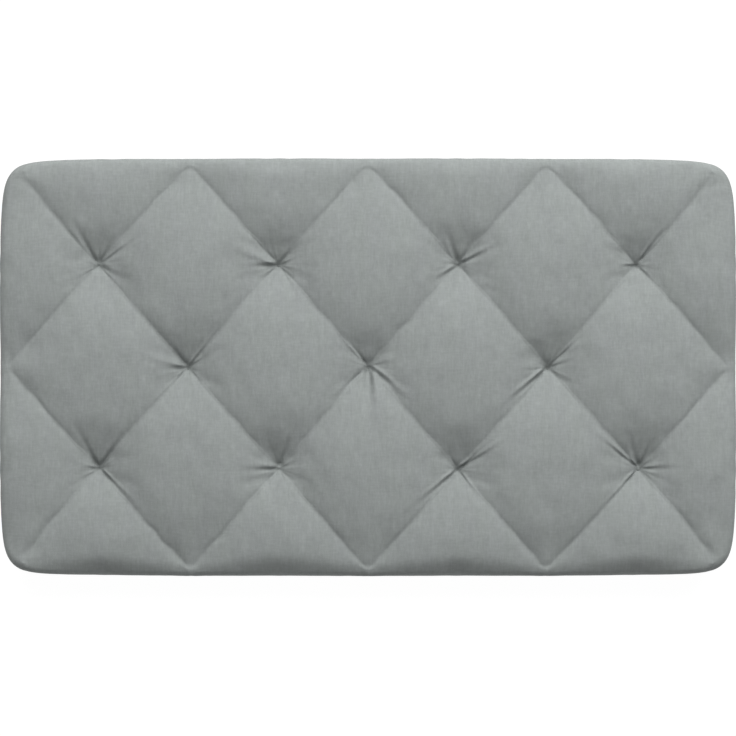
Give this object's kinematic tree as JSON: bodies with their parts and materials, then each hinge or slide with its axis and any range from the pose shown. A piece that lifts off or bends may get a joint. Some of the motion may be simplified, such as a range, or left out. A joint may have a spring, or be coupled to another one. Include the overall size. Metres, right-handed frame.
{
  "type": "headboard cushion",
  "caption": "Rectangular headboard cushion with a diamond-tufted cloth face, soft rolled edges and a flat back.",
  "frame": {"origin": "middle of the flat back, which is the bottom of the cushion as it lies", "axes": "+X along the width, +Y up the headboard, +Z out of the tufted face"},
  "size_m": [0.8, 0.455, 0.072],
  "materials": {
    "cover_cloth": "matt light grey linen-look weave",
    "tack_cloth": "the same cloth, gathered over a small tack"
  },
  "bodies": {
    "root": {"tufted_pad": "cover_cloth", "tuft_tack_01": "tack_cloth", "tuft_tack_02": "tack_cloth", "tuft_tack_03": "tack_cloth", "tuft_tack_04": "tack_cloth", "tuft_tack_05": "tack_cloth", "tuft_tack_06": "tack_cloth", "tuft_tack_07": "tack_cloth", "tuft_tack_08": "tack_cloth", "tuft_tack_09": "tack_cloth", "tuft_tack_10": "tack_cloth", "tuft_tack_11": "tack_cloth"}
  },
  "joints": []
}
